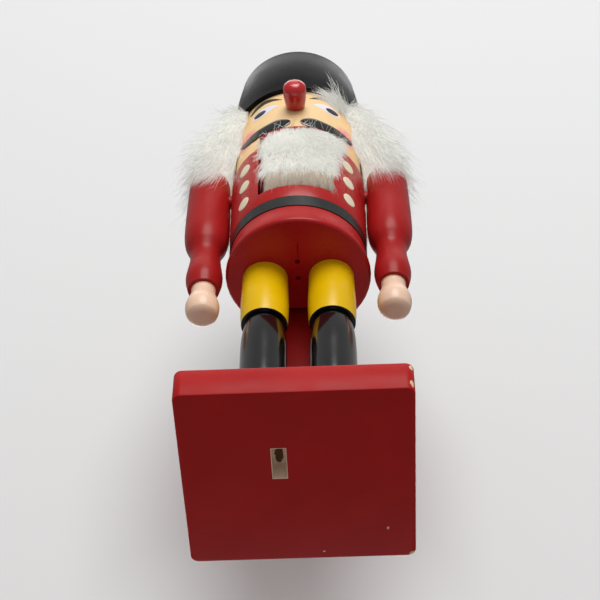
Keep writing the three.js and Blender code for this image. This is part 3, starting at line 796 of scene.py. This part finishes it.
# Hair: depths of its roots under the hat in mm, lean, lengths in mm, droop, and strands to a lock
SIDE_HAIR = dict(depths=(0.5, 17), lean=(0.58, 0.08, -0.68), length=(27, 42), droop=0.1, locks=24)
TEMPLE_HAIR = dict(depths=(0.5, 10), lean=(0.55, -0.16, -0.75), length=(18, 40), droop=0.12, locks=14)
LIFTED_HAIR = dict(depths=(0.3, 4), lean=(0.7, -0.1, 0.12), length=(6, 13), droop=0.08, locks=12)
INNER_HAIR = dict(depths=(9, 24), lean=(0.4, 0, -0.85), length=(9, 17), droop=0.1, locks=14)
CORNER_HAIR = dict(depths=(0.5, 17), lean=(0.6, 0, -0.7), length=(22, 33), droop=0.12, locks=24)
BACK_HAIR = dict(depths=(0.5, 16), lean=(0.6, 0, -0.7), length=(16, 23), droop=0.12, locks=24)


def make_hair():
    """Hair round the sides and back of the head, spread over the shoulders at the sides."""
    made = []
    for side, sign in SIDES:
        for part, angles in (("front", (62, 93)), ("rear", (93, 124))):
            full = hair_lines(2800, both(angles, sign), **SIDE_HAIR)
            made.append(fur(f"{side}_{part}_hair", full, finish["fur"]))
        temple = hair_lines(1700, both((50, 74), sign), **TEMPLE_HAIR)
        lifted = hair_lines(330, both((52, 84), sign), **LIFTED_HAIR)
        inner = hair_lines(900, both((58, 96), sign), **INNER_HAIR)
        made.append(fur(f"{side}_temple_hair", np.concatenate([temple, lifted, inner]), finish["fur"]))
        corner = hair_lines(2400, both((116, 146), sign), **CORNER_HAIR)
        made.append(fur(f"{side}_corner_hair", corner, finish["fur"]))
        back = hair_lines(3000, both((140, 181), sign), **BACK_HAIR)
        made.append(fur(f"{side}_back_hair", back, finish["fur"]))
    lock = gather(swept_lines(460, (44, 72), (0.4, 9), (0.95, 0.1, 0.2), (8, 19)), 30, 0.8)
    loose = swept_lines(16, (34, 50), (-3, 2), (0.25, 0.1, 0.9), (9, 20))
    made.append(fur("swept_hair", np.concatenate([lock, loose]), finish["fur"]))
    return made


# Beard: strands of the tuft, its strays and its fringe, and the share of the jaw's width that is covered
BEARD_STRANDS = 4900
BEARD_STRAYS = 28
FRINGE_STRANDS = 2200
JAW_COVERED = 0.95
JAW_SPAN = (-0.84, 1)


def jaw_roots(count, low, high):
    """Places on the front of the jaw, between two heights, and how far each is to the side from -1 to 1.
    The fur is glued on a little to one side."""
    half = lever_high.x * JAW_COVERED
    side = chance.uniform(*JAW_SPAN, count)
    across = side * half
    height = chance.uniform(low, high, count)
    radius = -beard_high.y
    return np.stack([across, -np.sqrt(radius ** 2 - across ** 2), height], axis=1), side


def make_beard():
    """Beard: a thick tuft on the front of the jaw, which swells forward below the lip and hangs down."""
    high = beard_high.z - 0.8 * MM
    low = beard_low.z + 1 * MM
    roots, side = jaw_roots(BEARD_STRANDS, low, high)
    depth = (high - roots[:, 2]) / (high - low)
    swell = np.sin(math.pi * depth)
    spread = np.where(side < 0, 0.3 + 0.4 * depth, 0.32)
    start = np.stack([
        0.2 + spread * side,
        -0.24 - 0.5 * swell,
        -0.97 + 0.33 * swell,
    ], axis=1) + chance.normal(0, 0.09, (BEARD_STRANDS, 3))
    reach = (29 - 13 * depth) * MM * chance.uniform(0.8, 1.1, BEARD_STRANDS)
    tuft = gather(grow(roots, start, reach, np.array((0, 0, -0.13)), 0.07), 24, 0.7)
    roots, _ = jaw_roots(BEARD_STRAYS, high, beard_high.z)
    start = np.array((0.1, -0.6, 0.25)) + chance.normal(0, 0.3, (BEARD_STRAYS, 3))
    reach = chance.uniform(3, 6.5, BEARD_STRAYS) * MM
    stray = grow(roots, start, reach, np.array((0, 0, -0.06)), 0.12)
    return fur("beard_fur", np.concatenate([tuft, stray]), finish["fur"])


def make_fringe():
    """The lower edge of the beard, which curls in under the jaw."""
    roots, side = jaw_roots(FRINGE_STRANDS, beard_low.z - 7 * MM, beard_low.z + 3 * MM)
    start = np.outer(side, (0.1, 0, 0)) + (0, -0.2, -1) + chance.normal(0, 0.13, (FRINGE_STRANDS, 3))
    reach = chance.uniform(7, 13, FRINGE_STRANDS) * MM
    lines = grow(roots, start, reach, np.array((0, 0.12, -0.02)), 0.09, as_grown)
    # The fringe's darker fur colour is painted shade under the jaw and the tuft
    return fur("beard_fringe", gather(lines, 16, 0.6), finish["fur_shaded"])


def domed(name, low, high, material, body):
    """A rounded pad that fills a box, flat at the back, under the strands of the beard."""
    middle = (low + high) / 2
    across, up = 24, 16
    points = []
    for i in range(up + 1):
        tilt = math.pi * i / up
        for j in range(across):
            turn = 2 * math.pi * j / across
            x = math.sin(tilt) * math.cos(turn)
            y = min(math.sin(tilt) * math.sin(turn), 0)
            points.append((
                middle.x + x * (high.x - low.x) / 2,
                high.y + y * (high.y - low.y),
                middle.z + math.cos(tilt) * (high.z - low.z) / 2,
            ))
    faces = [
        (i * across + j, (i + 1) * across + j, (i + 1) * across + k, i * across + k)
        for i in range(up)
        for j, k in zip(range(across), [*range(1, across), 0])
    ]
    piece(name, points, faces, material, body)


def collar(name, angles, outline, material):
    """A closed band round part of the head.
    Its outline holds distances from the head and depths under the hat."""
    turns = np.radians(np.linspace(*angles, 60))
    ring = len(outline)
    points = []
    for turn in turns:
        for out, depth in outline:
            radius = head_high.x + out * MM
            points.append((radius * math.sin(turn), -radius * math.cos(turn), hat_low.z - depth * MM))
    faces = [
        (i * ring + j, i * ring + (j + 1) % ring, (i + 1) * ring + (j + 1) % ring, (i + 1) * ring + j)
        for i in range(len(turns) - 1) for j in range(ring)
    ]
    faces.append(tuple(reversed(range(ring))))
    faces.append(tuple(range((len(turns) - 1) * ring, len(turns) * ring)))
    piece(name, points, faces, material, "figure")


def shadowless(strands):
    """Fine fur lets light through, so its strands throw no shadow: the undercoat does."""
    strands.visible_shadow = False


hair = make_hair()
for tuft in hair:
    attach(tuft, "figure")
    shadowless(tuft)
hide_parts("hair")
HAIR_PAD = ((0.3, 0.5), (2, 0.5), (4.5, 5), (6.5, 12), (6.5, 18), (4, 22), (0.3, 22))
collar("hair_undercoat", (66, 294), HAIR_PAD, finish["undercoat"])
beard = make_beard()
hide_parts("beard")
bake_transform(beard)
fringe = make_fringe()
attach(fringe, "jaw")
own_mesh(fringe)
for strands in (beard, fringe):
    shadowless(strands)
pad_low = beard_low + Vector((5, 8, 8)) * MM
pad_high = beard_high - Vector((2, 0, 5)) * MM
domed("beard_undercoat", pad_low, pad_high, finish["undercoat"], "jaw")


# Stage: a pale floor and backdrop that show only from their front, and leave the light on the object alone
def one_sided(name, colour):
    """A matt surface that is seen from its front and clear from behind."""
    paint = Paint(name, Base_Color=colour, Roughness=0.9, Specular_IOR_Level=0.0)
    tree = paint.tree
    clear = tree.nodes.new("ShaderNodeBsdfTransparent")
    geometry = tree.nodes.new("ShaderNodeNewGeometry")
    choice = tree.nodes.new("ShaderNodeMixShader")
    tree.links.new(geometry.outputs["Backfacing"], choice.inputs[0])
    tree.links.new(paint.shader.outputs[0], choice.inputs[1])
    tree.links.new(clear.outputs[0], choice.inputs[2])
    tree.links.new(choice.outputs[0], tree.nodes["Material Output"].inputs["Surface"])
    return paint.material


STAGE_REACH = 3.0
BACKDROP_Y = 0.11
FLOOR_GAP = 0.2 * MM


def stage(name, corners, material):
    """A flat sheet of the stage, which neither lights nor shades the object."""
    mesh = bpy.data.meshes.new(name)
    mesh.from_pydata(corners, [], [(0, 1, 2, 3)])
    mesh.materials.append(material)
    made = bpy.data.objects.new(name, mesh)
    scene.collection.objects.link(made)
    made.visible_diffuse = False
    made.visible_glossy = False
    made.visible_shadow = False
    made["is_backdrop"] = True


pale = one_sided("stage_pale", srgb(224, 224, 224))
reach = STAGE_REACH
under = cad_low.z - FLOOR_GAP
stage("floor", [
    (-reach, -reach, under),
    (reach, -reach, under),
    (reach, reach, under),
    (-reach, reach, under),
], pale)
stage("backdrop", [
    (-reach, BACKDROP_Y, under),
    (reach, BACKDROP_Y, under),
    (reach, BACKDROP_Y, reach),
    (-reach, BACKDROP_Y, reach),
], pale)


# Light: one broad soft lamp in front, weaker ones above and behind for the other views, and an even fill
def lamp(name, place, size, power):
    """A round lamp that faces the middle of the figure."""
    data = bpy.data.lights.new(name, "AREA")
    data.shape = "DISK"
    data.size = size
    data.energy = power
    made = bpy.data.objects.new(name, data)
    made.location = place
    aim = Vector((0, 0, cad_high.z / 2)) - Vector(place)
    made.rotation_mode = "QUATERNION"
    made.rotation_quaternion = aim.to_track_quat("-Z", "Y")
    scene.collection.objects.link(made)


lamp("key", (0.15, -1.45, 0.8), 1.1, 22.5)
lamp("above", (0, 0.1, 1.5), 1.2, 7)
lamp("behind", (-0.3, 1.6, 0.6), 1.5, 14)

FILL = 0.33
SKY_SEEN = srgb(228, 228, 228)[0]
world = bpy.data.worlds.new("studio")
scene.world = world
world.use_nodes = True
sky = world.node_tree.nodes["Background"]
sky.inputs["Color"].default_value = (1, 1, 1, 1)
rays = world.node_tree.nodes.new("ShaderNodeLightPath")
seen = world.node_tree.nodes.new("ShaderNodeMapRange")
seen.inputs["To Min"].default_value = FILL
seen.inputs["To Max"].default_value = SKY_SEEN
world.node_tree.links.new(rays.outputs["Is Camera Ray"], seen.inputs["Value"])
world.node_tree.links.new(seen.outputs["Result"], sky.inputs["Strength"])

# Camera
turn = Matrix.Rotation(FIGURE_TURN, 3, "Z")
forward = (turn @ CAMERA_FORWARD).normalized()
right = (turn @ CAMERA_RIGHT).normalized()
up = right.cross(forward)
camera = bpy.data.objects.new("camera", bpy.data.cameras.new("camera"))
camera.data.lens = CAMERA_LENS
camera.data.sensor_width = CAMERA_SENSOR
camera.data.clip_start = 0.01
camera.location = turn @ CAMERA_PLACE
camera.rotation_mode = "QUATERNION"
camera.rotation_quaternion = Matrix((right, up, -forward)).transposed().to_quaternion()
scene.collection.objects.link(camera)
scene.camera = camera

bpy.context.view_layer.update()
low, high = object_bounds()
